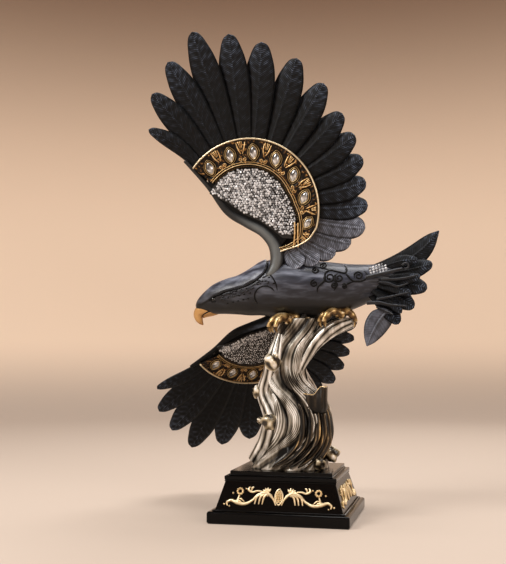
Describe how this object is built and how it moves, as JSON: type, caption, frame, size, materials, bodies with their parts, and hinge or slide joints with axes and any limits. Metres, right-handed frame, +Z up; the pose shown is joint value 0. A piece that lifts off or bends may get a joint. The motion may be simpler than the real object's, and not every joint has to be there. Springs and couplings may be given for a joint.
{
  "type": "statuette",
  "caption": "Table-top eagle statuette with one wing raised and one lowered, jewelled wing fans, twisted stump and stepped plinth with gold scrollwork.",
  "frame": {"origin": "centre of the underside of the plinth", "axes": "+Z up, +X from the bird's head towards its tail, -Y is the front of the plinth"},
  "size_m": [0.2964, 0.1912, 0.4602],
  "materials": {
    "felt": "felt",
    "plinth_lacquer": "gloss black lacquer",
    "gold": "antique gold",
    "steel": "plain",
    "stump_silver": "antique silver over dark brown",
    "knot_cream": "satin",
    "stub_bronze": "antique bronze",
    "body_patina": "dark blue-grey patina, satin",
    "feather_black": "black patina, satin",
    "leaf_grey": "blue-grey, satin",
    "edge_grey": "grey patina, satin",
    "band_bronze": "antique bronze",
    "bead_silver": "polished",
    "eye_glass": "gloss",
    "crystal": "cut and polished"
  },
  "bodies": {
    "root": {"base_felt": "felt", "plinth_slab": "plinth_lacquer", "plinth_body": "plinth_lacquer", "plinth_cornice": "plinth_lacquer", "plinth_cap": "plinth_lacquer", "front_scroll": "gold", "right_scroll": "gold", "back_scroll": "gold", "left_scroll": "gold", "base_stud": "steel", "base_washer": "steel", "base_nut": "steel", "stump": "stump_silver", "perch_arm": "stump_silver", "left_strand": "stump_silver", "rear_strand": "stump_silver", "stump_knots": "knot_cream", "stump_stub": "stub_bronze", "stump_curl": "stump_silver", "perch_rod": "steel", "body": "body_patina", "head": "body_patina", "upper_beak": "gold", "lower_beak": "gold", "eyes": "eye_glass", "left_foot": "gold", "right_foot": "gold", "tail_feather_top": "feather_black", "tail_feather_high": "feather_black", "tail_feather_mid": "feather_black", "tail_feather_low": "feather_black", "tail_feather_end": "feather_black", "tail_leaf": "leaf_grey", "tail_beads": "bead_silver", "raised_panel": "feather_black", "raised_primaries": "feather_black", "raised_secondaries": "feather_black", "raised_leading_edge": "edge_grey", "raised_band": "band_bronze", "raised_outer_rim": "gold", "raised_inner_rim": "gold", "raised_bezels": "gold", "raised_stones": "crystal", "raised_filigree": "gold", "raised_pave_bed": "bead_silver", "raised_pave_stones": "crystal", "raised_wing_pin": "steel", "lowered_panel": "feather_black", "lowered_primaries": "feather_black", "lowered_secondaries": "feather_black", "lowered_leading_edge": "edge_grey", "lowered_band": "band_bronze", "lowered_outer_rim": "gold", "lowered_inner_rim": "gold", "lowered_bezels": "gold", "lowered_stones": "crystal", "lowered_filigree": "gold", "lowered_pave_bed": "bead_silver", "lowered_pave_stones": "crystal", "lowered_wing_pin": "steel"}
  },
  "joints": []
}
